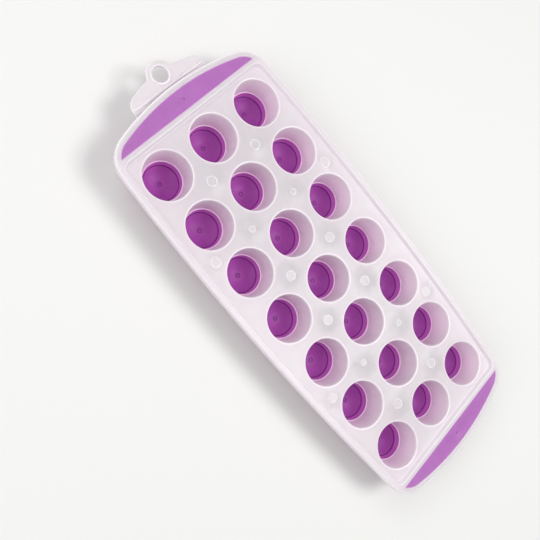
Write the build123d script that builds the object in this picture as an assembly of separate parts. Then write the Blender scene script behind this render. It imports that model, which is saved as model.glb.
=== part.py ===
from build123d import *
from math import sqrt
import os

os.makedirs("parts", exist_ok=True)

# A 21-cell baby food freezer tray: one hard frame, a soft push-out bottom in every cell, and a soft
# grip pad let into each end. Millimetres. Z is up. The origin is under the middle cell, on the
# surface that the crowns of the soft cups stand on, and the hanging tab is at the -X end.

# Cells
row_count = 7
column_letters = "abc"
cell_pitch = 35.0
mouth_radius = 13.9  # hard wall at the deck
throat_radius = 12.05  # hard wall where the soft cup takes over
mouth_bevel = 0.8  # from the deck into the cell
hard_wall_depth = 14.9  # deck down to the top of the soft cup
cell_depth = 22.2  # deck down to the inside of the crown
cell_wall = 1.5

# Soft cups
soft_wall = 1.2  # at the crown
dome_radius = 20.0
crown_flat_radius = 3.0  # flat that the tray stands on
lip_wall = 0.6  # hard lip that stands round the top of the soft cup
lip_lap = 1.0  # how far the hard lip runs down over the soft cup
bond_gap = 0.05  # between hard and soft walls that face each other

# Plan of the frame, from the outer cells outwards. Its outline is two long arcs and two end arcs
# that meet in rounded corners. Widths are those at the middle of each side.
row_end_room = 18.0  # middle of an end cell to the straight end of the recess
column_side_room = 21.3  # middle of an outer cell to the bowed side of the recess
end_bridge = 2.4  # flat of the rim between the recess and each grip window
window_width = 11.9
end_land = 3.2  # flat of the rim outside each window
side_land = 3.4  # flat of the rim beside the recess
side_arc_radius = 1650.0
end_arc_radius = 160.0
corner_radius = 17.0

# Walls of the frame
rim_wall = 1.8
skirt_wall = 1.6
skirt_depth = 6.0  # top of the rim down to the lower edge of the skirt
rim_edge_rounding = 1.0
deck_wall = 1.6

# Recess that holds the deck below the rim
rim_rise = 2.5  # deck up to the top of the rim
recess_wall = 1.8
recess_corner_radius = 5.0
recess_lean = 1.2  # how far the recess wall leans in over its height

# Grip pads and the windows they fill
window_corner_radius = 0.5
window_wall = 1.8  # hard wall that stands round the pad
window_depth = 4.8  # top of the rim down to the lower edge of that wall
pad_wall = 1.3
pad_hollow_corner_radius = 0.5
pad_depth = 5.0
pad_recess = 0.3  # top of the pad below the top of the rim

# Hanging tab at the -X end
tab_reach = 10.8  # end of the rim to the middle of the tab's arc
tab_width = 52.6
tab_arc_radius = 73.0
tab_corner_radius = 7.0
tab_wall = 1.6
hang_hole_radius = 4.7
hang_hole_place = 9.0  # end of the rim to the middle of the hole
hang_eye_width = 3.2  # hole to the edge of the tab that bulges round it
hang_eye_blend = 3.0  # hollow corner between that bulge and the tab's arc
hang_ring_width = 1.1  # raised ring round the hole
hang_ring_height = 0.5
rib_place = 1.8  # end of the rim to the middle of the straight rib
rib_width = 1.3
rib_height = 0.7

# Heights above the surface that the tray stands on
deck_top = soft_wall + cell_depth
deck_under = deck_top - deck_wall
rim_top = deck_top + rim_rise
skirt_foot = rim_top - skirt_depth
window_foot = rim_top - window_depth
pad_top = rim_top - pad_recess
pad_foot = pad_top - pad_depth
cup_top = deck_top - hard_wall_depth
lip_foot = cup_top - lip_lap

# Radii that follow from the walls
cell_foot_radius = throat_radius + cell_wall
seat_radius = cell_foot_radius - lip_wall
cup_radius = seat_radius - bond_gap

# Half lengths and widths about the middle cell
last_row_x = (row_count - 1) / 2 * cell_pitch
last_column_y = (len(column_letters) - 1) / 2 * cell_pitch
recess_half_length = last_row_x + row_end_room
recess_half_width = last_column_y + column_side_room
window_place = recess_half_length + end_bridge
half_length = window_place + window_width + end_land
half_width = recess_half_width + side_land
hole_x = -half_length - hang_hole_place


def cell_places():
    """Name and centre of every cell, with row 1 beside the hanging tab."""
    for column, letter in enumerate(column_letters):
        for row in range(row_count):
            x = row * cell_pitch - last_row_x
            y = column * cell_pitch - last_column_y
            yield f"{letter}{row + 1}", Pos(x, y, 0)


def slab(plan, foot, top):
    """A plate or block on the plan, between two heights."""
    return Pos(0, 0, foot) * extrude(plan, top - foot)


def turned(section):
    """The body that a section drawn in X and Z makes about the upright axis."""
    return revolve(Plane.XZ * section, Axis.Z)


def bowed_band(inset):
    """The long band between the two side arcs of the frame, drawn in by the inset."""
    radius = side_arc_radius - inset
    centre = half_width - side_arc_radius
    return Pos(0, centre) * Circle(radius) & Pos(0, -centre) * Circle(radius)


def frame_plan(inset):
    """The frame's outline, drawn in by the inset."""
    radius = end_arc_radius - inset
    centre = half_length - end_arc_radius
    plan = bowed_band(inset) & Pos(centre, 0) * Circle(radius) & Pos(-centre, 0) * Circle(radius)
    return fillet(plan.vertices(), corner_radius - inset)


def recess_plan(inset):
    """Outline of the recess, drawn in by the inset: bowed sides and straight ends."""
    straight_ends = Rectangle(2 * (recess_half_length - inset), 2 * half_width)
    plan = bowed_band(side_land + inset) & straight_ends
    return fillet(plan.vertices(), recess_corner_radius - inset)


def window_plan(inset, tip_radius):
    """Outline of the +X grip window, drawn in by the inset: a crescent inside the end of the rim."""
    straight_edge = window_place + inset
    beyond = Rectangle(half_length, 2 * half_width, align=(Align.MIN, Align.CENTER))
    plan = frame_plan(end_land + inset) & Pos(straight_edge, 0) * beyond
    tips = plan.vertices().group_by(Axis.X)[0]
    return fillet(tips, tip_radius)


def tab_plan():
    """Outline of the hanging tab and the eye in it, from the skirt outwards."""
    arc_middle = tab_arc_radius - half_length - tab_reach
    reach = Rectangle(half_length, tab_width, align=(Align.MAX, Align.CENTER))
    plan = Pos(arc_middle, 0) * Circle(tab_arc_radius) & Pos(-half_length / 2, 0) * reach
    plan = fillet(plan.vertices().group_by(Axis.X)[0], tab_corner_radius)
    plan += Pos(hole_x, 0) * Circle(hang_hole_radius + hang_eye_width)
    plan = fillet(plan.vertices().group_by(Axis.X)[0], hang_eye_blend)
    return plan - frame_plan(skirt_wall / 2)


def cell_wall_body():
    """Outer shape of one hard cell wall: a cone under the deck that ends in the lip."""
    section = Polygon(
        (0, lip_foot),
        (cell_foot_radius, lip_foot),
        (mouth_radius + cell_wall, deck_top),
        (0, deck_top),
        align=None,
    )
    return turned(section)


def cell_hollow():
    """Space inside one hard cell wall: the bevelled mouth, the cone and the seat of the soft cup."""
    section = Polygon(
        (0, lip_foot),
        (seat_radius, lip_foot),
        (seat_radius, cup_top),
        (throat_radius, cup_top),
        (mouth_radius, deck_top),
        (mouth_radius + cell_wall, deck_top),
        (mouth_radius + cell_wall, rim_top),
        (0, rim_top),
        align=None,
    )
    mouth = section.vertices().sort_by_distance((mouth_radius, deck_top))[0]
    return turned(chamfer(mouth, mouth_bevel))


def hanging_tab():
    """The low flange at the -X end, with the raised ring round its hole and a straight rib."""
    plan = tab_plan()
    tab_top = skirt_foot + tab_wall
    ring = Pos(hole_x, 0) * Circle(hang_hole_radius + hang_ring_width)
    rib = Pos(-half_length - rib_place, 0) * Rectangle(rib_width, tab_width)
    tab = slab(plan, skirt_foot, tab_top)
    tab += slab(ring, skirt_foot, tab_top + hang_ring_height)
    tab += slab(rib & plan, skirt_foot, tab_top + rib_height)
    return tab


def hard_frame():
    """The hard moulding: rim and skirt, sunken deck, cell walls, grip windows and hanging tab."""
    frame = slab(frame_plan(0), skirt_foot, rim_top)
    frame = fillet(frame.edges().group_by(Axis.Z)[-1], rim_edge_rounding)
    frame -= slab(frame_plan(skirt_wall), skirt_foot, rim_top - rim_wall)

    window = slab(window_plan(0, window_corner_radius), window_foot, rim_top)
    post_plan = window_plan(-window_wall, window_corner_radius + window_wall)
    window_post = slab(post_plan, window_foot, rim_top)
    frame += [window_post, window_post.mirror(Plane.YZ)]
    frame += slab(recess_plan(-recess_wall), deck_under, rim_top)
    frame += hanging_tab()
    frame += [place * cell_wall_body() for _, place in cell_places()]

    floor_line = Pos(0, 0, deck_top) * recess_plan(recess_lean)
    top_line = Pos(0, 0, rim_top) * recess_plan(0)
    frame -= loft([floor_line, top_line])
    frame -= [window, window.mirror(Plane.YZ)]
    frame -= slab(Pos(hole_x, 0) * Circle(hang_hole_radius), skirt_foot, rim_top)
    frame -= [place * cell_hollow() for _, place in cell_places()]
    return frame


def cup_side(radius, dome, crown_level):
    """Half section of a cup: a straight neck that ends in a spherical dome with a flat crown."""
    neck = Rectangle(radius, cup_top - crown_level, align=Align.MIN)
    dome_centre = crown_level + sqrt(dome**2 - crown_flat_radius**2)
    return Pos(0, crown_level) * neck & Pos(0, dome_centre) * Circle(dome)


def soft_cup():
    """One soft cell bottom: a neck that seats inside the hard lip, and a dome to push."""
    hollow = cup_side(throat_radius, dome_radius - soft_wall, soft_wall)
    return turned(cup_side(cup_radius, dome_radius, 0) - hollow)


def grip_pad():
    """The soft pad of the +X end: a shallow crescent pan, open side down."""
    plan = window_plan(bond_gap, window_corner_radius - bond_gap)
    hollow = window_plan(bond_gap + pad_wall, pad_hollow_corner_radius)
    return slab(plan, pad_foot, pad_top) - slab(hollow, pad_foot, pad_top - pad_wall)


export_step(hard_frame(), "parts/tray_frame.step")

for name, place in cell_places():
    export_step(place * soft_cup(), f"parts/soft_cup_{name}.step")

far_pad = grip_pad()
export_step(far_pad, "parts/grip_pad_far_end.step")
export_step(far_pad.mirror(Plane.YZ), "parts/grip_pad_tab_end.step")
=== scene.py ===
import bpy
import bmesh
from math import asin, atan, atan2, cos, degrees, hypot, pi, radians, sin, sqrt
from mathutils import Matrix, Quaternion, Vector


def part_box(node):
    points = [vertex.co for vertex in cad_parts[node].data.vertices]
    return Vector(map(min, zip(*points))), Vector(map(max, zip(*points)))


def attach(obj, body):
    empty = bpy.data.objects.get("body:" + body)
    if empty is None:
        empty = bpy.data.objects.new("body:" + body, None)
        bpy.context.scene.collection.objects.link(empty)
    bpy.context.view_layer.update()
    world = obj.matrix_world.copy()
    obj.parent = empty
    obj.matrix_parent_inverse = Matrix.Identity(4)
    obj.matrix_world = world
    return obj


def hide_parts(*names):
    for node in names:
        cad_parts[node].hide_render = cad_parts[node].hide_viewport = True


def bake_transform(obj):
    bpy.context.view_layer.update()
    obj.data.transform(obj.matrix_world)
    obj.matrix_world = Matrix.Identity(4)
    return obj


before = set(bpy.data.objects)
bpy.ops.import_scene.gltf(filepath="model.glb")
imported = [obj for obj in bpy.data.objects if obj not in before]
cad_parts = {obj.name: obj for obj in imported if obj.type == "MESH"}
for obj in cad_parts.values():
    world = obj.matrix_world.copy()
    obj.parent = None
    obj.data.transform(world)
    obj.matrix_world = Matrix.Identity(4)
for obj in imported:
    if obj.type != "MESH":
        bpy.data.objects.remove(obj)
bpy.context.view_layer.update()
mm = 0.001  # every size below is in millimetres and goes through this
print("frame loaded:", len(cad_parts), "nodes")


def linearColour(hexColour):
    # sRGB hex into the linear values that the shaders work in
    channels = [int(hexColour[i:i + 2], 16) / 255 for i in (1, 3, 5)]
    return [c / 12.92 if c <= 0.04045 else ((c + 0.055) / 1.055) ** 2.4 for c in channels] + [1.0]


def addNode(tree, kind, values=None, links=None, **settings):
    node = tree.nodes.new(kind)
    for name, value in settings.items():
        setattr(node, name, value)
    for socket, value in (values or {}).items():
        node.inputs[socket].default_value = value
    for socket, source in (links or {}).items():
        tree.links.new(source, node.inputs[socket])
    return node


def startMaterial(name, shaderValues):
    material = bpy.data.materials.new(name)
    material.use_nodes = True
    tree = material.node_tree
    tree.nodes.clear()
    shader = addNode(tree, "ShaderNodeBsdfPrincipled", shaderValues)
    addNode(tree, "ShaderNodeOutputMaterial", links={"Surface": shader.outputs["BSDF"]})
    return material, tree, shader


def addNoise(tree, place, spacing, detail):
    # soft random waves, with their spacing in mm
    values = {"Scale": 1 / (spacing * mm), "Detail": detail}
    return addNode(tree, "ShaderNodeTexNoise", values, {"Vector": place}).outputs["Fac"]


def addRange(tree, value, low, high, start=0.0, end=1.0, **settings):
    # low where the value is at start, high where it is at end
    values = {"From Min": start, "From Max": end, "To Min": low, "To Max": high}
    node = addNode(tree, "ShaderNodeMapRange", values, {"Value": value}, **settings)
    return node.outputs["Result"]


def addSkin(tree, shader, place, waves, finish):
    # roughness that drifts with the waves, and a fine grain in the surface
    tree.links.new(addRange(tree, waves, *finish["roughness"]), shader.inputs["Roughness"])
    grain = addNoise(tree, place, finish["grain"], finish["grainDetail"])
    values = {"Strength": finish["grainStrength"], "Distance": finish["grainDepth"] * mm}
    bump = addNode(tree, "ShaderNodeBump", values, {"Height": grain})
    tree.links.new(bump.outputs["Normal"], shader.inputs["Normal"])


# mesh helpers: everything here is lofted from closed outlines, one loop of points for each height

samePoint = 0.001  # mm, points nearer than this are welded
sameCorner = 0.01  # mm, an arc that ends nearer than this to the next one shares its point
onAxis = 1e-6  # mm
sharpAngle = 38  # degrees, edges that turn by more than this stay sharp
brightEdgeMaterial = 1  # in the materials of each piece, the one for its edges, painted bright: a painted highlight on the frame and pads, a painted glow along the cups' seam


def arcPoints(centre, radius, start, end, steps):
    points = []
    for i in range(steps + 1):
        angle = radians(start + (end - start) * i / steps)
        points.append((centre[0] + radius * cos(angle), centre[1] + radius * sin(angle)))
    return points


def bearing(start, end):
    return degrees(atan2(end[1] - start[1], end[0] - start[0]))


def circlesMeet(first, firstRadius, second, secondRadius):
    # the meeting point that lies left of the way from first to second
    dx, dy = second[0] - first[0], second[1] - first[1]
    apart = hypot(dx, dy)
    along = (firstRadius ** 2 - secondRadius ** 2 + apart ** 2) / (2 * apart)
    across = sqrt(firstRadius ** 2 - along ** 2)
    x = first[0] + (along * dx - across * dy) / apart
    y = first[1] + (along * dy + across * dx) / apart
    return (x, y)


def arcLoop(arcs):
    # arcs are (centre, radius, start, end, steps), anticlockwise round the outline; one that turns
    # clockwise is hollow, so an inset makes it larger
    def drawn(inset):
        return [
            arcPoints(centre, radius - inset if end > start else radius + inset, start, end, steps)
            for centre, radius, start, end, steps in arcs
        ]

    parts = drawn(0)
    meets = [
        (Vector(part[-1]) - Vector(after[0])).length < sameCorner
        for part, after in zip(parts, parts[1:] + parts[:1])
    ]

    def outline(inset):
        points = []
        for part, meet in zip(drawn(inset), meets):
            points += part[:-1] if meet else part
        return points

    return outline


def mirrorArcs(arcs):
    # the same outline at the other end of the tray
    return [
        ((-x, y), radius, 180 - end, 180 - start, steps)
        for (x, y), radius, start, end, steps in arcs[::-1]
    ]


def flipArcs(arcs):
    # the same arcs on the other side of the long axis
    return [
        ((x, -y), radius, -end, -start, steps)
        for (x, y), radius, start, end, steps in arcs[::-1]
    ]


def marked(points, material=brightEdgeMaterial):
    # marks the points of a section whose faces take another of the piece's materials
    return [(point[0], point[1], material) for point in points]


def loopAt(mesh, points, height):
    return [mesh.verts.new((x * mm, y * mm, height * mm)) for x, y in points]


def joinLoops(mesh, loops, section):
    # section lists the point that each loop was made from
    for first, second, here, there in zip(loops, loops[1:], section, section[1:]):
        bothMarked = len(here) == len(there) == 3 and here[2] == there[2]
        for i in range(len(first)):
            after = (i + 1) % len(first)
            face = mesh.faces.new((first[i], first[after], second[after], second[i]))
            face.material_index = here[2] if bothMarked else 0


def stackLoops(mesh, outline, section):
    # section lists (inset, height) points; returns the first and the last loop
    loops = [loopAt(mesh, outline(point[0]), point[1]) for point in section]
    joinLoops(mesh, loops, section)
    return loops[0], loops[-1]


def turnSection(mesh, section, centre, steps):
    # lathes a section of (radius, height) points, closed with a fan where it reaches the axis
    turns = [2 * pi * i / steps for i in range(steps)]

    def circle(radius):
        return [(centre[0] + radius * cos(turn), centre[1] + radius * sin(turn)) for turn in turns]

    tips = [
        loopAt(mesh, [centre], point[1])[0] if point[0] < onAxis else None
        for point in (section[0], section[-1])
    ]
    walls = [point for point in section if point[0] >= onAxis]
    rings = [loopAt(mesh, circle(point[0]), point[1]) for point in walls]
    joinLoops(mesh, rings, walls)
    for tip, ring in zip(tips, (rings[0], rings[-1])):
        if tip:
            for i in range(steps):
                mesh.faces.new((tip, ring[i], ring[(i + 1) % steps]))
    return rings[0], rings[-1]


def fillFlat(mesh, *loops):
    # a level face made of triangles: the first loop is its edge, the others are holes in it
    edges = []
    for loop in loops:
        for vert, after in zip(loop, loop[1:] + loop[:1]):
            edges.append(mesh.edges.get((vert, after)) or mesh.edges.new((vert, after)))
    bmesh.ops.triangle_fill(mesh, edges=edges, use_beauty=True, normal=(0, 0, 1))


def finishMesh(name, mesh, *materials):
    bmesh.ops.remove_doubles(mesh, verts=mesh.verts, dist=samePoint * mm)
    bmesh.ops.recalc_face_normals(mesh, faces=mesh.faces)
    data = bpy.data.meshes.new(name)
    mesh.to_mesh(data)
    mesh.free()
    for material in materials:
        data.materials.append(material)
    data.set_sharp_from_angle(angle=radians(sharpAngle))  # every other edge shades smooth
    piece = bpy.data.objects.new(name, data)
    bpy.context.scene.collection.objects.link(piece)
    return piece


# the grid of cells, which the frame, the soft cups and the milky plastic all follow

cells = {
    "rows": 7,
    "columns": "abc",
    "pitch": 35.0,
    "mouthRadius": 13.9,
    "mouthRound": 0.9,
    "throatRadius": 12.05,
    "throatRound": 0.22,
    "seatRadius": 12.95,
    "footRadius": 13.55,
    "outerRadius": 15.4,  # outside of the wall at the level of the deck
    "underRound": 0.6,
    "mouthSteps": 7,
    "highlightPoints": 6,  # of the mouth round, from its top: the brow that takes the painted highlight
    "roundSteps": 4,
    "steps": 72,
    "wallMaterial": 2,
}


def cellPlaces():
    # name and middle of every cell, with row 1 beside the hanging tab
    for column, letter in enumerate(cells["columns"]):
        for row in range(cells["rows"]):
            x = (row - (cells["rows"] - 1) / 2) * cells["pitch"]
            y = (column - (len(cells["columns"]) - 1) / 2) * cells["pitch"]
            yield f"{letter}{row + 1}", x, y


def betweenCells(count):
    # the middles between neighbours in a line of cells, in cell pitches from the tray's middle
    return [i + 1 - count / 2 for i in range(count - 1)]


milkyPlastic = {
    "colour": "#FAF0F6",
    "cloudColour": "#F3E5ED",
    "paintedShowThrough": "#F2D9E8",  # painted light: the purple of the soft cups as it would show through the wall of each cell, painted into the plastic's colour
    "paintedShowThroughHeights": (8.0, 24.0),  # mm, heights between which it fades
    "paintedHaloReach": (14.0, 21.0),  # mm from the middle of the nearest cell, over which it fades on the deck
    "paintedHaloAtDeck": 0.35,
    "ior": 1.49,
    "clearness": 0.16,  # share of the light that goes straight through, the rest scatters
    "wallClearness": 0.0,  # the cell walls slant, so light crosses more plastic in them
    "scatterDepth": 3.5,  # mm
    "roughness": (0.34, 0.46),  # where the mould is polished, and where it has dulled
    "flowMarks": 18.0,  # mm between the slow waves left by the filling melt
    "flowDetail": 2.0,
    "grain": 1.1,  # mm between the dimples of a polished mould, coarser than real so it shows
    "grainDetail": 1.0,
    "grainDepth": 0.012,
    "grainStrength": 0.35,
    # rounded edges: an opaque, glossier copy of the plastic, whiter than the plastic beside it, a
    # painted highlight
    "highlightEdgeColour": "#F3EBF1",
    "highlightEdgeClearness": 0.0,
    "edgeRoughness": 0.26,
    "edgeScatterDepth": 1.4,  # mm
}


def fromCellMiddle(tree, place):
    # level distance from a point of the surface to the middle of the nearest cell
    def step(operation, source, amount):
        node = addNode(tree, "ShaderNodeVectorMath", {1: amount}, {0: source}, operation=operation)
        return node.outputs["Vector"]

    pitch = cells["pitch"] * mm
    lastCell = ((cells["rows"] - 1) * pitch / 2, (len(cells["columns"]) - 1) * pitch / 2, 0)
    level = step("MULTIPLY", place, (1, 1, 0))
    nearest = step("SNAP", step("ADD", level, (pitch / 2, pitch / 2, 0)), (pitch, pitch, 1))
    nearest = step("MINIMUM", nearest, lastCell)
    nearest = step("MAXIMUM", nearest, tuple(-reach for reach in lastCell))
    both = {0: level, 1: nearest}
    return addNode(tree, "ShaderNodeVectorMath", links=both, operation="DISTANCE").outputs["Value"]


def makeMilkyPlastic(name, clearness):
    # natural polypropylene, injection moulded: no pigment, so it blurs what lies behind it and goes
    # white where it is thick, with a soft gloss from a polished mould; near the cells its colour is
    # tinted lilac, painted light standing in for the purple cups shining through it
    m = milkyPlastic
    material, tree, shader = startMaterial(name, {
        "IOR": m["ior"],
        "Transmission Weight": clearness,
        "Subsurface Weight": 1.0,
        "Subsurface Radius": (1.0, 1.0, 1.0),
        "Subsurface Scale": m["scatterDepth"] * mm,
    })
    place = addNode(tree, "ShaderNodeTexCoord").outputs["Object"]
    waves = addNoise(tree, place, m["flowMarks"], m["flowDetail"])
    plain = {"A": linearColour(m["colour"]), "B": linearColour(m["cloudColour"])}
    tint = addNode(tree, "ShaderNodeMix", plain, {"Factor": waves}, data_type="RGBA")

    # painted light: lilac near the cells, fading up the wall and away from each cell's middle
    height = addNode(tree, "ShaderNodeSeparateXYZ", links={"Vector": place}).outputs["Z"]
    low, high = m["paintedShowThroughHeights"]
    upWall = addRange(tree, height, 1.0, m["paintedHaloAtDeck"], low * mm, high * mm)
    near, far = m["paintedHaloReach"]
    fade = addRange(tree, fromCellMiddle(tree, place), 1.0, 0.0, near * mm, far * mm,
                    interpolation_type="SMOOTHSTEP")
    share = addNode(tree, "ShaderNodeMath", links={0: upWall, 1: fade}, operation="MULTIPLY")
    paintedTint = addNode(tree, "ShaderNodeMix", {"B": linearColour(m["paintedShowThrough"])},
                    {"Factor": share.outputs["Value"], "A": tint.outputs["Result"]},
                    data_type="RGBA")
    tree.links.new(paintedTint.outputs["Result"], shader.inputs["Base Color"])
    addSkin(tree, shader, place, waves, m)
    return material


def makeMilkyHighlightEdge():
    # the same plastic on a rounded edge, opaque and glossier so that it stays whiter than the
    # plastic beside it: a painted highlight along the rounds
    m = milkyPlastic
    return startMaterial("polypropylene natural rounded edge painted highlight", {
        "Base Color": linearColour(m["highlightEdgeColour"]),
        "IOR": m["ior"],
        "Roughness": m["edgeRoughness"],
        "Transmission Weight": m["highlightEdgeClearness"],
        "Subsurface Weight": 1.0,
        "Subsurface Radius": (1.0, 1.0, 1.0),
        "Subsurface Scale": m["edgeScatterDepth"] * mm,
    })[0]


elastomer = {
    "cupColour": "#BA58BC",
    "cupDeepColour": "#A446A8",
    # painted light: the shoulder band inside each cup, paler than the dome as if lit
    "litNeckColour": "#C76DC6",
    "padColour": "#BE7AC4",
    "padDeepColour": "#B06CB6",
    # painted highlight: the pads' rounded edges, paler than the pad
    "padEdgeHighlightColour": "#EBC3EE",
    # painted shade: darker purple in the gate dimple of each pad
    "padGateShadeColour": "#9C5AA4",
    # the seam bead: pale as thin feathered elastomer is, and made brighter still by a painted glow
    "seamGlowColour": "#F9D3F4",
    "paintedSeamGlow": 0.1,  # painted glow: the seam emits a little light of its own, standing in for light that the milky wall leads down to it
    # painted shade: darker purple in the groove round the dome
    "creaseShadeColour": "#8F3494",
    # painted shade: darker purple in the groove round each cup's gate
    "gateShadeColour": "#94409A",
    "ior": 1.49,
    "shine": 0.28,  # the matt skin keeps the mirror part low
    "scatter": 0.35,
    "scatterDepth": (2.4, 1.0, 2.6),  # mm that red, green and blue wander under the skin
    "roughness": (0.38, 0.5),  # satin to matt
    "mottle": 7.0,  # mm
    "mottleDetail": 3.0,
    "grain": 0.7,  # mm, grain of the sparked mould, coarser than real so it shows
    "grainDetail": 2.0,
    "grainDepth": 0.02,
    "grainStrength": 0.3,
}


def makeElastomer(part, colourName, deepColourName=None, glow=0.0):
    # thermoplastic elastomer, moulded onto the frame: pigmented right through, soft satin skin,
    # a little light bleeds under it so thin edges look paler
    m = elastomer
    colour = linearColour(m[colourName])
    deepColour = linearColour(m[deepColourName or colourName])
    material, tree, shader = startMaterial(f"thermoplastic elastomer {part}", {
        "IOR": m["ior"],
        "Specular IOR Level": m["shine"],
        "Subsurface Weight": m["scatter"],
        "Subsurface Radius": m["scatterDepth"],
        "Subsurface Scale": mm,
        # emission is a painted glow, used only on the seam
        "Emission Color": colour,
        "Emission Strength": glow,
    })
    place = addNode(tree, "ShaderNodeTexCoord").outputs["Object"]
    patches = addNoise(tree, place, m["mottle"], m["mottleDetail"])
    tint = addNode(tree, "ShaderNodeMix", {"A": colour, "B": deepColour}, {"Factor": patches},
                   data_type="RGBA")
    tree.links.new(tint.outputs["Result"], shader.inputs["Base Color"])
    addSkin(tree, shader, place, patches, m)
    return material


polypropylene = makeMilkyPlastic("polypropylene natural moulded", milkyPlastic["clearness"])
polypropyleneWall = makeMilkyPlastic("polypropylene natural cell wall",
                                     milkyPlastic["wallClearness"])
polypropyleneHighlightEdge = makeMilkyHighlightEdge()
purpleElastomer = makeElastomer("purple cup", "cupColour", "cupDeepColour")
padElastomer = makeElastomer("purple pad", "padColour", "padDeepColour")
padHighlightElastomer = makeElastomer("pad edge painted highlight", "padEdgeHighlightColour")
seamGlowElastomer = makeElastomer("feathered seam painted glow", "seamGlowColour", glow=elastomer["paintedSeamGlow"])
gateShadeElastomer = makeElastomer("gate ring painted shade", "gateShadeColour")
padGateShadeElastomer = makeElastomer("pad gate painted shade", "padGateShadeColour")
litNeckElastomer = makeElastomer("neck painted light", "litNeckColour")
creaseShadeElastomer = makeElastomer("crease painted shade", "creaseShadeColour")
print("materials made")

# the hard frame, with the numbers that the rest of the tray is built round

frameLow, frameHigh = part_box("tray_frame")
cupLow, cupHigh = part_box("soft_cup_b4")
padLow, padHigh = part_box("grip_pad_far_end")

hardFrame = {
    "halfLength": frameHigh.x / mm,
    "halfWidth": frameHigh.y / mm,
    "rimTop": frameHigh.z / mm,
    "lipFoot": frameLow.z / mm,
    "cupTop": cupHigh.z / mm,
    "sideArc": 1650.0,
    "endArc": 160.0,
    "corner": 17.0,
    "rimRound": 1.0,
    "edgeStrip": 0.12,  # strip beside a round, which keeps the shading of the flat next to it even
    "skirtWall": 1.6,
    "skirtDepth": 6.0,
    "footRound": 0.3,
    "rimRise": 2.5,  # deck up to the rim
    "deckWall": 1.6,
    "sideLand": 3.4,
    "recessHalfLength": 123.0,
    "recessEndArc": 100000.0,  # as good as straight
    "recessCorner": 5.0,
    "recessLean": 1.2,
    "recessTopRound": 0.45,
    "recessFloorRound": 0.6,
    "windowEdge": 125.4,
    "endLand": 3.2,
    "windowTip": 0.5,
    "windowDepth": 4.8,
    "windowRound": 0.25,
    "windowStrip": 0.1,
    "postWall": 1.2,
    "postRound": 0.2,
    "cornerSteps": 8,
    "endSteps": 24,
    "sideSteps": 30,
    "windowEndSteps": 20,
    "windowTipSteps": 6,
    "rimSteps": 6,
    "roundSteps": 4,
    "footSteps": 3,
}

rimTop = hardFrame["rimTop"]
deckTop = rimTop - hardFrame["rimRise"]
deckUnder = deckTop - hardFrame["deckWall"]
skirtFoot = rimTop - hardFrame["skirtDepth"]
windowFoot = rimTop - hardFrame["windowDepth"]
cupTop = hardFrame["cupTop"]


def bowedOutline(halfLength, halfWidth, endArc, corner, sideArc):
    # four bowed sides that meet in rounded corners, as arcs; also the middle of a corner round, and
    # the bearing at which the end's arc runs into it
    f = hardFrame
    sideMiddle = (0.0, halfWidth - sideArc)
    endMiddle = (halfLength - endArc, 0.0)
    cornerMiddle = circlesMeet(endMiddle, endArc - corner, sideMiddle, sideArc - corner)
    atEnd = bearing(endMiddle, cornerMiddle)
    atSide = bearing(sideMiddle, cornerMiddle)
    upper = [(cornerMiddle, corner, atEnd, atSide, f["cornerSteps"])]
    right = flipArcs(upper) + [(endMiddle, endArc, -atEnd, atEnd, f["endSteps"])] + upper
    top = [(sideMiddle, sideArc, atSide, 180 - atSide, f["sideSteps"])]
    bottom = [((0.0, -sideMiddle[1]), sideArc, 180 + atSide, 360 - atSide, f["sideSteps"])]
    return right + top + mirrorArcs(right) + bottom, cornerMiddle, atEnd


def frameOutline():
    f = hardFrame
    return bowedOutline(f["halfLength"], f["halfWidth"], f["endArc"], f["corner"], f["sideArc"])


def recessOutline():
    f = hardFrame
    land = f["sideLand"]
    return bowedOutline(f["recessHalfLength"], f["halfWidth"] - land, f["recessEndArc"],
                        f["recessCorner"], f["sideArc"] - land)[0]


def windowOutline(tip):
    # the crescent inside the +X end of the rim
    f = hardFrame
    cornerMiddle, atEnd = frameOutline()[1:]
    corner = f["corner"] - f["endLand"]
    tipX = f["windowEdge"] + tip
    tipY = cornerMiddle[1] + sqrt((corner - tip) ** 2 - (tipX - cornerMiddle[0]) ** 2)
    atTip = bearing(cornerMiddle, (tipX, tipY))
    upper = [
        (cornerMiddle, corner, atEnd, atTip, f["cornerSteps"]),
        ((tipX, tipY), tip, atTip, 180, f["windowTipSteps"]),
    ]
    endMiddle = (f["halfLength"] - f["endArc"], 0.0)
    end = [(endMiddle, f["endArc"] - f["endLand"], -atEnd, atEnd, f["windowEndSteps"])]
    return flipArcs(upper) + end + upper


def addRim(mesh):
    # over the rounded rim, down the outside of the skirt and up its inside to the deck
    f = hardFrame
    rim, foot, skirt = f["rimRound"], f["footRound"], f["skirtWall"]
    section = [(rim + f["edgeStrip"], rimTop)]
    section += arcPoints((rim, rimTop - rim), rim, 90, 180, f["rimSteps"])
    section += arcPoints((foot, skirtFoot + foot), foot, 180, 270, f["footSteps"])
    section += arcPoints((skirt - foot, skirtFoot + foot), foot, 270, 360, f["footSteps"])
    section = marked(section) + [(skirt, deckUnder)]
    return stackLoops(mesh, arcLoop(frameOutline()[0]), section)


def addRecess(mesh):
    # from the rim down the leaning wall to the deck, with a round above and below
    f = hardFrame
    lean, strip, steps = f["recessLean"], f["edgeStrip"], f["roundSteps"]
    upper, lower = f["recessTopRound"], f["recessFloorRound"]
    wallFace = atan(lean / f["rimRise"])
    aside = (1 - sin(wallFace)) / cos(wallFace)  # from the corner to the middle of a round of 1 mm
    start, finish, face = -aside * upper, lean + aside * lower, degrees(wallFace)
    section = [(start - strip, rimTop)]
    section += arcPoints((start, rimTop - upper), upper, 90, face, steps)
    section += arcPoints((finish, deckTop + lower), lower, 180 + face, 270, steps)
    section += [(finish + strip, deckTop)]
    return stackLoops(mesh, arcLoop(recessOutline()), marked(section))


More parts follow.
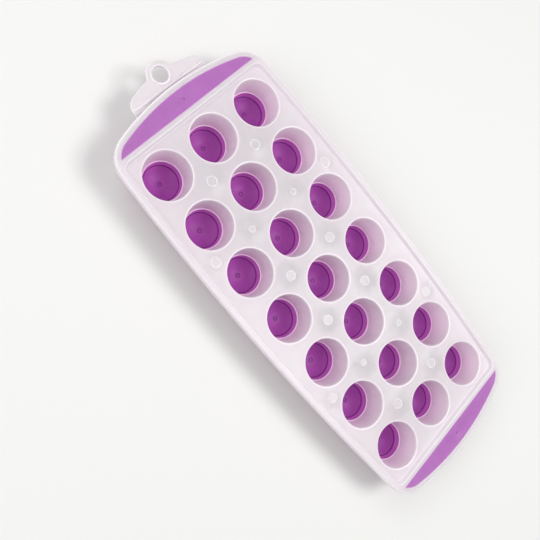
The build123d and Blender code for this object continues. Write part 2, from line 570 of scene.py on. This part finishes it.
def addWindows(mesh):
    # down the inside of each window and up the outside of its wall to the deck's underside
    f = hardFrame
    edge, foot, post = f["windowRound"], f["postRound"], f["postWall"]
    section = [(-edge - f["windowStrip"], rimTop)]
    section += arcPoints((-edge, rimTop - edge), edge, 90, 0, f["roundSteps"])
    section = marked(section)
    section += arcPoints((-foot, windowFoot + foot), foot, 0, -90, f["footSteps"])
    section += arcPoints((foot - post, windowFoot + foot), foot, -90, -180, f["footSteps"])
    section += [(-post, deckUnder)]
    window = windowOutline(f["windowTip"])
    return [stackLoops(mesh, arcLoop(arcs), section) for arcs in (window, mirrorArcs(window))]


def cellSection():
    # mouth round, inner cone, seat of the soft cup, lip and outer cone, down and up again
    c, f = cells, hardFrame
    foot = f["lipFoot"]
    innerSlope = (c["mouthRadius"] - c["throatRadius"]) / (deckTop - cupTop)
    innerFace = 180 - degrees(atan(innerSlope))
    outerSlope = (c["outerRadius"] - c["footRadius"]) / (deckTop - foot)
    outerFace = degrees(atan(outerSlope))

    mouth, throat = c["mouthRound"], c["throatRound"]
    mouthMiddle = (c["mouthRadius"] + mouth * (1 - innerSlope), deckTop - mouth)
    throatMiddle = (c["throatRadius"] + throat * (1 + innerSlope), cupTop + throat)
    mouthArc = [(mouthMiddle[0] + f["edgeStrip"], deckTop)]
    mouthArc += arcPoints(mouthMiddle, mouth, 90, innerFace, c["mouthSteps"])
    throatArc = arcPoints(throatMiddle, throat, innerFace, 270, c["roundSteps"])
    bright = c["highlightPoints"]
    # the upper brow of the mouth round takes the painted highlight material
    section = marked(mouthArc[:bright]) + mouthArc[bright:]
    section += marked([mouthArc[-1], throatArc[0]], c["wallMaterial"]) + marked(throatArc)

    lip = (c["footRadius"] - c["seatRadius"]) / 3  # slant, level and slant share its width
    section += [(c["seatRadius"], cupTop), (c["seatRadius"], foot + lip)]
    section += [(c["seatRadius"] + lip, foot), (c["footRadius"] - lip, foot)]
    section += [(c["footRadius"] + lip * outerSlope, foot + lip)]
    r = c["underRound"]
    coneTop = c["footRadius"] + outerSlope * (deckUnder - r - foot)
    section += arcPoints((coneTop + r, deckUnder - r), r, 180 - outerFace, 90, c["roundSteps"])
    return section


mouldMarks = {
    "sunk": 0.12,
    "proud": 0.14,
    "ridge": (0.3, 0.12, -0.1, -0.35),  # outer foot, top, top and inner foot, from the radius
    "pinRadius": 2.9,  # ejector pins
    "gateRadius": 1.8,  # injection gates
    "gateStub": (0.6, 0.45),  # radii at the foot and the top of what the broken runner left
    "gateRow": 1.5,  # cell pitches from the middle, like the place below
    "outerPlace": 1.33,
    "steps": 40,
}


def markSection(radius, isGate):
    m = mouldMarks
    top, floor = deckTop + m["proud"], deckTop - m["sunk"]
    ridge = zip(m["ridge"], (deckTop, top, top, floor))
    section = marked([(radius + out, height) for out, height in ridge])
    if isGate:
        foot, head = m["gateStub"]
        return section + [(foot, floor), (head, deckTop), (0.0, deckTop)]
    return section + [(radius / 2, floor), (0.0, floor)]


def addMouldMarks(mesh):
    # returns the edge of each mark, for the deck to be cut round
    m = mouldMarks
    edges = []

    def addMark(along, across, isGate=False):
        place = (along * cells["pitch"], across * cells["pitch"])
        section = markSection(m["gateRadius"] if isGate else m["pinRadius"], isGate)
        edges.append(turnSection(mesh, section, place, m["steps"])[0])

    for along in betweenCells(cells["rows"]):
        isGate = abs(along) == m["gateRow"]
        for across in betweenCells(len(cells["columns"])):
            addMark(along, across, isGate)
        if isGate:
            for side in (-1, 1):
                addMark(along, side * m["outerPlace"])
    return edges


tab = {
    "thickness": 1.6,
    "reach": 10.8,
    "halfWidth": 26.3,
    "arc": 73.0,
    "corner": 7.0,
    "holeRadius": 4.7,
    "holePlace": 9.0,
    "eyeWidth": 3.2,
    "eyeBlend": 3.0,
    "ringWidth": 1.1,
    "ringHeight": 0.5,
    "ringFoot": 0.15,  # slant at the foot of the ring
    "ribPlace": 1.8,
    "ribHalfWidth": 0.65,
    "ribHeight": 0.7,
    "ribRound": 0.35,
    "ribEnd": 1.0,  # end of the rib to the side of the tab
    "round": 0.3,
    "arcSteps": 8,
    "cornerSteps": 8,
    "blendSteps": 6,
    "eyeSteps": 20,
    "backSteps": 16,
    "ringSteps": 48,
    "ribSteps": 8,
    "roundSteps": 3,
}


def tabOutline():
    # as if at the +X end
    t, f = tab, hardFrame
    middle = (f["halfLength"] + t["reach"] - t["arc"], 0.0)
    hole = (f["halfLength"] + t["holePlace"], 0.0)
    eye = t["holeRadius"] + t["eyeWidth"]
    cornerY = t["halfWidth"] - t["corner"]
    corner = (middle[0] + sqrt((t["arc"] - t["corner"]) ** 2 - cornerY ** 2), cornerY)
    blend = circlesMeet(middle, t["arc"] + t["eyeBlend"], hole, eye + t["eyeBlend"])
    atCorner, atBlend = bearing(middle, corner), bearing(middle, blend)
    upper = [
        (blend, t["eyeBlend"], bearing(blend, hole), bearing(blend, middle), t["blendSteps"]),
        (middle, t["arc"], atBlend, atCorner, t["arcSteps"]),
        (corner, t["corner"], atCorner, 90, t["cornerSteps"]),
    ]
    atEye = bearing(hole, blend)
    end = [(hole, eye, -atEye, atEye, t["eyeSteps"])]
    skirtMiddle = (f["halfLength"] - f["endArc"], 0.0)
    skirtArc = f["endArc"] - f["skirtWall"] / 2  # the tab ends inside the skirt
    atSkirt = degrees(asin(t["halfWidth"] / skirtArc))
    back = [(skirtMiddle, skirtArc, atSkirt, -atSkirt, t["backSteps"])]
    return flipArcs(upper) + end + upper + back


def addHangingTab(mesh):
    t = tab
    end = -hardFrame["halfLength"]
    top = skirtFoot + t["thickness"]
    r, steps = t["round"], t["roundSteps"]
    section = arcPoints((r, skirtFoot + r), r, 270, 180, steps)
    section += arcPoints((r, top - r), r, 180, 90, steps)
    outline = arcLoop(mirrorArcs(tabOutline()))
    lowEdge, highEdge = stackLoops(mesh, outline, marked(section))

    hole, ring = t["holeRadius"], t["holeRadius"] + t["ringWidth"]
    ringTop = top + t["ringHeight"]
    section = [(ring + t["ringFoot"], top), (ring, top + t["ringFoot"])]
    section += arcPoints((ring - r, ringTop - r), r, 0, 90, steps)
    section += arcPoints((hole + r, ringTop - r), r, 90, 180, steps)
    section += arcPoints((hole + r, skirtFoot + r), r, 180, 270, steps)
    holeMiddle = (end - t["holePlace"], 0.0)
    ringEdge, holeEdge = turnSection(mesh, marked(section), holeMiddle, t["ringSteps"])

    ribX, width, ribRound = end - t["ribPlace"], t["ribHalfWidth"], t["ribRound"]
    ribY = t["halfWidth"] - t["ribEnd"] - width
    ribTop = top + t["ribHeight"]
    strip = hardFrame["edgeStrip"]
    section = [(-strip, top), (0.0, top + strip)]
    section += arcPoints((ribRound, ribTop - ribRound), ribRound, 180, 90, steps)
    ribEnds = [
        ((ribX, ribY), width, 0, 180, t["ribSteps"]),
        ((ribX, -ribY), width, 180, 360, t["ribSteps"]),
    ]
    ribFootEdge, ribTopEdge = stackLoops(mesh, arcLoop(ribEnds), marked(section))

    fillFlat(mesh, highEdge, ringEdge, ribFootEdge)
    fillFlat(mesh, ribTopEdge)
    fillFlat(mesh, lowEdge, holeEdge)


def makeHardFrame():
    mesh = bmesh.new()
    rimEdge, skirtEdge = addRim(mesh)
    recessEdge, deckEdge = addRecess(mesh)
    windows = addWindows(mesh)
    walls = [turnSection(mesh, cellSection(), (x, y), cells["steps"]) for _, x, y in cellPlaces()]
    marks = addMouldMarks(mesh)
    fillFlat(mesh, rimEdge, recessEdge, *[top for top, _ in windows])
    fillFlat(mesh, deckEdge, *[top for top, _ in walls], *marks)
    fillFlat(mesh, skirtEdge, *[foot for _, foot in windows + walls])
    addHangingTab(mesh)
    # rounds and the ridges of the mould marks take the painted highlight material
    shell = finishMesh("tray_frame_shell", mesh,
                       polypropylene, polypropyleneHighlightEdge, polypropyleneWall)
    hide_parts("tray_frame")
    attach(shell, "frame")


makeHardFrame()
print("hard frame made")

# one soft cup, made 21 times

softCup = {
    "neckRadius": (cupHigh.x - cupLow.x) / 2 / mm,
    "wall": 1.2,
    "domeRadius": 20.0,
    "domeSteps": 14,
    "crownFlat": 3.0,
    "neckRound": 3.0,  # outer round between dome and neck
    "topRound": ((0.0, 0.25), (0.08, 0.06), (0.25, 0.0)),  # in from the neck, down from the top
    "gateRing": 1.35,
    "gateDepth": 0.28,
    # outside of the crown from the axis out, in shares of the two sizes above
    "gateProfile": ((0.0, 0.2), (0.3, 0.25), (0.45, 1.0), (0.85, 1.0), (1.0, 0.3), (1.2, 0.0)),
    "gateGroove": (0.75, 1.45),  # ring round the gate inside the cup
    "gateGrooveSlant": 0.12,
    "gateStub": (0.2, 0.3),  # slant beside the groove, and height in shares of the gate's depth
    "gateBurr": ((0.1, 0.2), (0.4, 0.0)),  # out from the groove, and height in the same shares
    "creaseRadius": 10.75,  # groove between the dome and the thicker shoulder round it
    "grooveWidth": 0.7,
    "grooveDepth": 0.18,
    "grooveFloor": ((-0.6, -0.4), (-0.2, 0.0)),  # out and up from the crease, in groove widths
    "shoulderFoot": ((0.0, 0.1), (0.35, 0.6)),  # out and up from the crease
    "shoulderRise": 2.2,
    "shoulderHead": ((-0.25, -0.4), (-0.05, 0.0), (0.0, 0.4)),  # from the throat at that rise
    "beadHeight": 1.2,  # bead where the two plastics meet
    "bead": 0.58,
    "beadRound": 0.3,
    "beadCurl": 200,  # degrees at which its round begins, a little undercut
    "bendAbove": 1.0,  # mm down from the top of the cup
    "bendLength": 12.5,  # mm along the cup
    "neckSteps": 6,
    "beadSteps": 4,
    "creaseShadeMaterial": 2,
    "gateShadeMaterial": 3,
    "litNeckMaterial": 4,
}


def outerCupSection():
    # from the axis over the gate and the dome, and up the neck to the top
    c = softCup
    side, corner, flat, radius = c["neckRadius"], c["neckRound"], c["crownFlat"], c["domeRadius"]
    section = [(c["gateRing"] * out, c["gateDepth"] * up) for out, up in c["gateProfile"]]
    middle = (0.0, sqrt(radius ** 2 - flat ** 2))
    cornerX = side - corner
    cornerMiddle = (cornerX, middle[1] - sqrt((radius - corner) ** 2 - cornerX ** 2))
    meet = bearing(middle, cornerMiddle)
    section += arcPoints(middle, radius, bearing(middle, (flat, 0.0)), meet, c["domeSteps"])
    section += arcPoints(cornerMiddle, corner, meet, 0, c["neckSteps"])[1:]
    # the top round outside takes the painted seam glow material
    return section + marked([(side - inward, cupTop - down) for inward, down in c["topRound"]])


def innerCupSection():
    # the same way inside: gate, dome, crease, shoulder, and the bead at the seam
    c = softCup
    throat, wall, depth = cells["throatRadius"], c["wall"], c["gateDepth"]
    near, far = c["gateGroove"]
    slant, sunk = c["gateGrooveSlant"], wall - depth
    stub, stubRise = c["gateStub"]
    section = [(0.0, wall + depth * stubRise), (near - stub, wall + depth * stubRise), (near, wall)]
    gate = [(near, wall), (near + slant, sunk), (far - slant, sunk), (far, wall)]
    # the gate groove takes the darker, painted shade material
    section += marked(gate, c["gateShadeMaterial"])
    section += [(far + out, wall + depth * up) for out, up in c["gateBurr"]]

    radius, crease, groove = c["domeRadius"] - wall, c["creaseRadius"], c["grooveWidth"]
    middle = (0.0, wall + sqrt(radius ** 2 - c["crownFlat"] ** 2))
    start, finish = (degrees(asin(r / radius)) - 90 for r in (c["crownFlat"], crease - groove))
    section += arcPoints(middle, radius, start, finish, c["domeSteps"])
    level = middle[1] - sqrt(radius ** 2 - crease ** 2)
    floor = [
        (crease + groove * out, level + groove * up - c["grooveDepth"])
        for out, up in c["grooveFloor"]
    ]
    foot = [(crease + out, level + up) for out, up in c["shoulderFoot"]]
    head = [(throat + out, level + c["shoulderRise"] + up) for out, up in c["shoulderHead"]]
    seam = (throat, cupTop - c["beadHeight"])
    # the groove round the dome takes the darker, painted shade material
    section += marked([section[-1]] + floor + foot[:1], c["creaseShadeMaterial"])
    # the shoulder band up to the seam takes the paler, painted-light colour
    section += marked(foot + head + [seam], c["litNeckMaterial"])

    r = c["beadRound"]
    beadMiddle = (throat - c["bead"] + r, cupTop - r)
    # the bead takes the painted seam glow material
    return section + marked([seam] + arcPoints(beadMiddle, r, c["beadCurl"], 90, c["beadSteps"]))


def makeSoftCup(body, x, y):
    mesh = bmesh.new()
    turnSection(mesh, outerCupSection() + innerCupSection()[::-1], (x, y), cells["steps"])
    cup = finishMesh(f"soft_{body}_moulded", mesh, purpleElastomer, seamGlowElastomer, creaseShadeElastomer,
                     gateShadeElastomer, litNeckElastomer)
    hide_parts(f"soft_{body}")
    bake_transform(cup)


for cellName, cellX, cellY in cellPlaces():
    makeSoftCup(f"cup_{cellName}", cellX, cellY)
print("soft cups made")

# the crescent pads at the two ends

gripPad = {
    "foot": padLow.z / mm,
    "top": padHigh.z / mm,
    "gap": 0.05,  # between the pad and its window
    "edgeRound": 0.32,
    "edgeStrip": 0.08,
    "wall": 1.3,
    "innerTip": 2.6,
    "gateRadius": 0.8,
    "gateSlant": 0.3,
    "gateDepth": 0.14,
    "gateFloor": (0.4, 0.12),  # radius in shares of the gate's, and depth there
    "edgeSteps": 4,
    "gateSteps": 24,
    "gateShadeMaterial": 2,
}


def makeGripPad(node, side):
    g = gripPad
    top, foot, r, gap = g["top"], g["foot"], g["edgeRound"], g["gap"]
    outer = windowOutline(hardFrame["windowTip"])
    inner = windowOutline(g["innerTip"])
    if side < 0:
        outer, inner = mirrorArcs(outer), mirrorArcs(inner)
    outer, inner = arcLoop(outer), arcLoop(inner)
    wall = g["wall"] + gap
    hollow = [(wall, top - g["wall"]), (wall, foot)]
    # the pad's rounded edge takes the paler, painted highlight material
    skin = [(gap, foot)] + marked(arcPoints((gap + r, top - r), r, 180, 90, g["edgeSteps"]))
    skin += marked([(gap + r + g["edgeStrip"], top)])
    mesh = bmesh.new()
    loops = [loopAt(mesh, inner(point[0]), point[1]) for point in hollow]
    loops += [loopAt(mesh, outer(point[0]), point[1]) for point in skin]
    joinLoops(mesh, loops, hollow + skin)

    middle = (side * (padLow.x + padHigh.x) / 2 / mm, 0.0)
    rim = (g["gateRadius"], top - g["gateDepth"])
    share, depth = g["gateFloor"]
    gate = [(g["gateRadius"] + g["gateSlant"], top), rim]
    # the gate dimple takes the darker, painted shade material
    gate += marked([rim, (g["gateRadius"] * share, top - depth)], g["gateShadeMaterial"])
    gate += [(0.0, top)]
    fillFlat(mesh, loops[-1], turnSection(mesh, gate, middle, g["gateSteps"])[0])
    fillFlat(mesh, loops[0])
    pad = finishMesh(f"{node}_moulded", mesh, padElastomer, padHighlightElastomer, padGateShadeElastomer)
    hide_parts(node)
    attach(pad, "frame")


makeGripPad("grip_pad_far_end", 1)
makeGripPad("grip_pad_tab_end", -1)
print("grip pads made")

# floor, light and camera

studio = {
    "paper": "#F4F4F2",
    "paperRoughness": 0.8,
    "paperShine": 0.2,
    "floorSize": 6.0,  # m
    "floorSquares": 4,
    "floorDrop": 0.2,  # mm below the tray's feet
    "tent": "#FFFFFF",
    "ambient": 0.36,
    "lights": (
        # name, place in mm, width and height in mm, watts
        ("soft box right", (385, 411, 1085), (460, 460), 6.6),
        ("soft box left", (-430, -800, 771), (900, 900), 4.3),
        ("soft box tab side", (-800, 60, 820), (700, 700), 2.6),
    ),
}


def makeFloor():
    s = studio
    squares = s["floorSquares"]
    mesh = bmesh.new()
    bmesh.ops.create_grid(mesh, x_segments=squares, y_segments=squares, size=s["floorSize"] / 2)
    # seamless white paper roll, matt: no gloss, so only the soft shadow shows on it
    paper = startMaterial("paper sweep white matt", {
        "Base Color": linearColour(s["paper"]),
        "Roughness": s["paperRoughness"],
        "Specular IOR Level": s["paperShine"],
    })[0]
    floor = finishMesh("floor", mesh, paper)
    floor.location.z = -s["floorDrop"] * mm


def makeLights():
    for name, spot, size, power in studio["lights"]:
        lamp = bpy.data.lights.new(name, "AREA")
        lamp.shape = "RECTANGLE"
        lamp.size, lamp.size_y = size[0] * mm, size[1] * mm
        lamp.energy = power
        holder = bpy.data.objects.new(name, lamp)
        holder.location = Vector(spot) * mm
        holder.rotation_mode = "QUATERNION"
        holder.rotation_quaternion = (-Vector(spot)).to_track_quat("-Z", "Y")
        bpy.context.scene.collection.objects.link(holder)
    world = bpy.data.worlds.new("light tent")
    world.use_nodes = True
    background = world.node_tree.nodes["Background"].inputs
    background["Color"].default_value = linearColour(studio["tent"])
    background["Strength"].default_value = studio["ambient"]
    bpy.context.scene.world = world
    bpy.context.scene.view_settings.view_transform = "Standard"


viewpoint = {
    "place": (-92.0, -135.5, 327.3),
    "aim": (-28.5, -25.2, 23.4),
    "roll": 77.85,  # degrees
    "lens": 38.5,
    "clipStart": 10.0,
}


def makeCamera():
    v = viewpoint
    camera = bpy.data.objects.new("camera", bpy.data.cameras.new("camera"))
    bpy.context.scene.collection.objects.link(camera)
    bpy.context.scene.camera = camera
    camera.data.lens = v["lens"]
    camera.data.clip_start = v["clipStart"] * mm
    camera.location = Vector(v["place"]) * mm
    looking = (Vector(v["aim"]) - Vector(v["place"])).to_track_quat("-Z", "Y")
    camera.rotation_mode = "QUATERNION"
    camera.rotation_quaternion = looking @ Quaternion((0, 0, 1), radians(v["roll"]))


makeFloor()
makeLights()
makeCamera()
print("studio and camera made")
